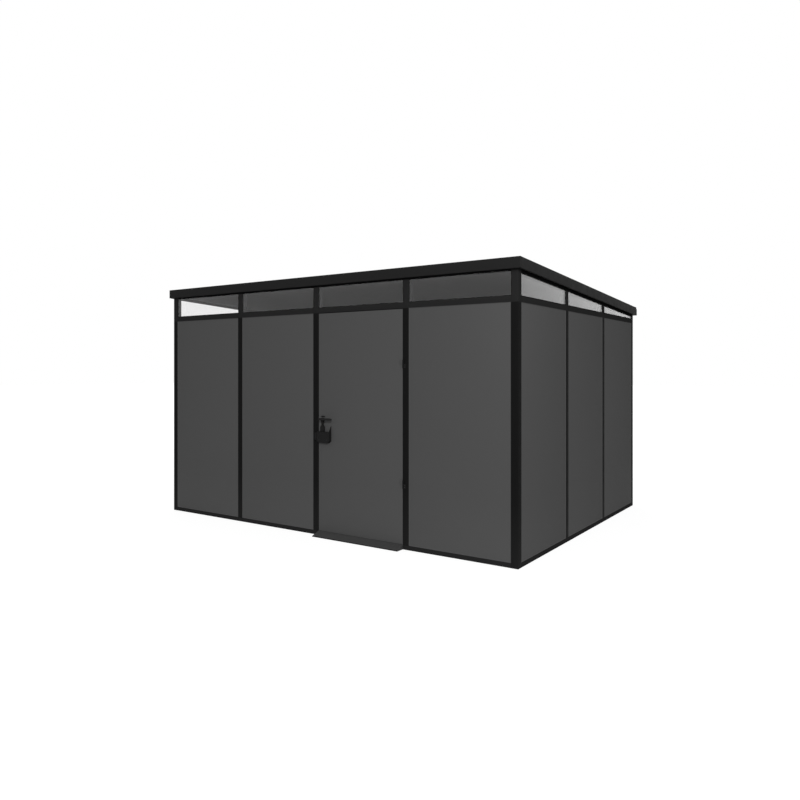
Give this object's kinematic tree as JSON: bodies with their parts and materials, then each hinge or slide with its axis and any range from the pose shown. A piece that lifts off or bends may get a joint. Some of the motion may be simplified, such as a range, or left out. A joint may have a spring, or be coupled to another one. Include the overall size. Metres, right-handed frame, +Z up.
{
  "type": "modular garden house",
  "caption": "Flat-fronted modular garden house of dark posts and smooth grey panels, with a band of high windows, a hinged door with a ramp and a roof that falls to the back.",
  "frame": {"origin": "middle of the footprint between the outer faces of the posts, on the underside of the floor at ground level", "axes": "+X along the front to the right, -Y out of the front with the door, +Z up"},
  "size_m": [4.066, 3.138, 2.3506],
  "materials": {
    "panel": "smooth matt dark grey",
    "post": "satin black powder coat",
    "rail": "satin black powder coat",
    "fascia": "satin near-black powder coat",
    "roof": "matt dark grey",
    "window": "clear, lightly tinted",
    "floor": "grey grooved deck",
    "ramp": "satin dark grey",
    "lock": "satin black",
    "lever": "satin black"
  },
  "bodies": {
    "house": {"floor": "floor", "base_rail_front": "rail", "base_rail_back": "rail", "base_rail_left": "rail", "base_rail_right": "rail", "corner_post_front_left": "post", "corner_post_front_right": "post", "corner_post_back_left": "post", "corner_post_back_right": "post", "front_post": "post", "lock_post": "post", "hinge_post": "post", "back_posts": "post", "left_posts": "post", "right_posts": "post", "front_panel_left": "panel", "front_panel_middle": "panel", "front_panel_right": "panel", "back_panels": "panel", "left_panels": "panel", "right_panels": "panel", "transom_front": "rail", "transom_back": "rail", "transom_left": "rail", "transom_right": "rail", "head_rail_front": "rail", "head_rail_back": "rail", "head_rail_left": "rail", "head_rail_right": "rail", "front_windows": "window", "left_windows": "window", "right_windows": "window", "roof_panels": "roof", "roof_seams": "fascia", "fascia_front": "fascia", "fascia_back": "fascia", "fascia_left": "fascia", "fascia_right": "fascia", "threshold_ramp": "ramp", "door_stops": "rail", "hinge_pins": "lock", "lock_keeper": "lock"},
    "door": {"door_leaf": "panel", "door_hinges": "lock", "lever_rose": "lock", "lock_case": "lock"},
    "lever": {"door_lever": "lever"}
  },
  "joints": [
    {"name": "door_swing", "type": "hinge", "parent": "house", "child": "door", "pos_m": [0.9615, -1.515, 1.0475], "axis": [0, 0, 1], "range_deg": [0, 110]},
    {"name": "lever_turn", "type": "hinge", "parent": "door", "child": "lever", "pos_m": [0.084, -1.5535, 1.057], "axis": [0, 1, 0], "range_deg": [0, 40], "stiffness_Nm_per_rad": 0.6, "springref_deg": -28.65}
  ]
}
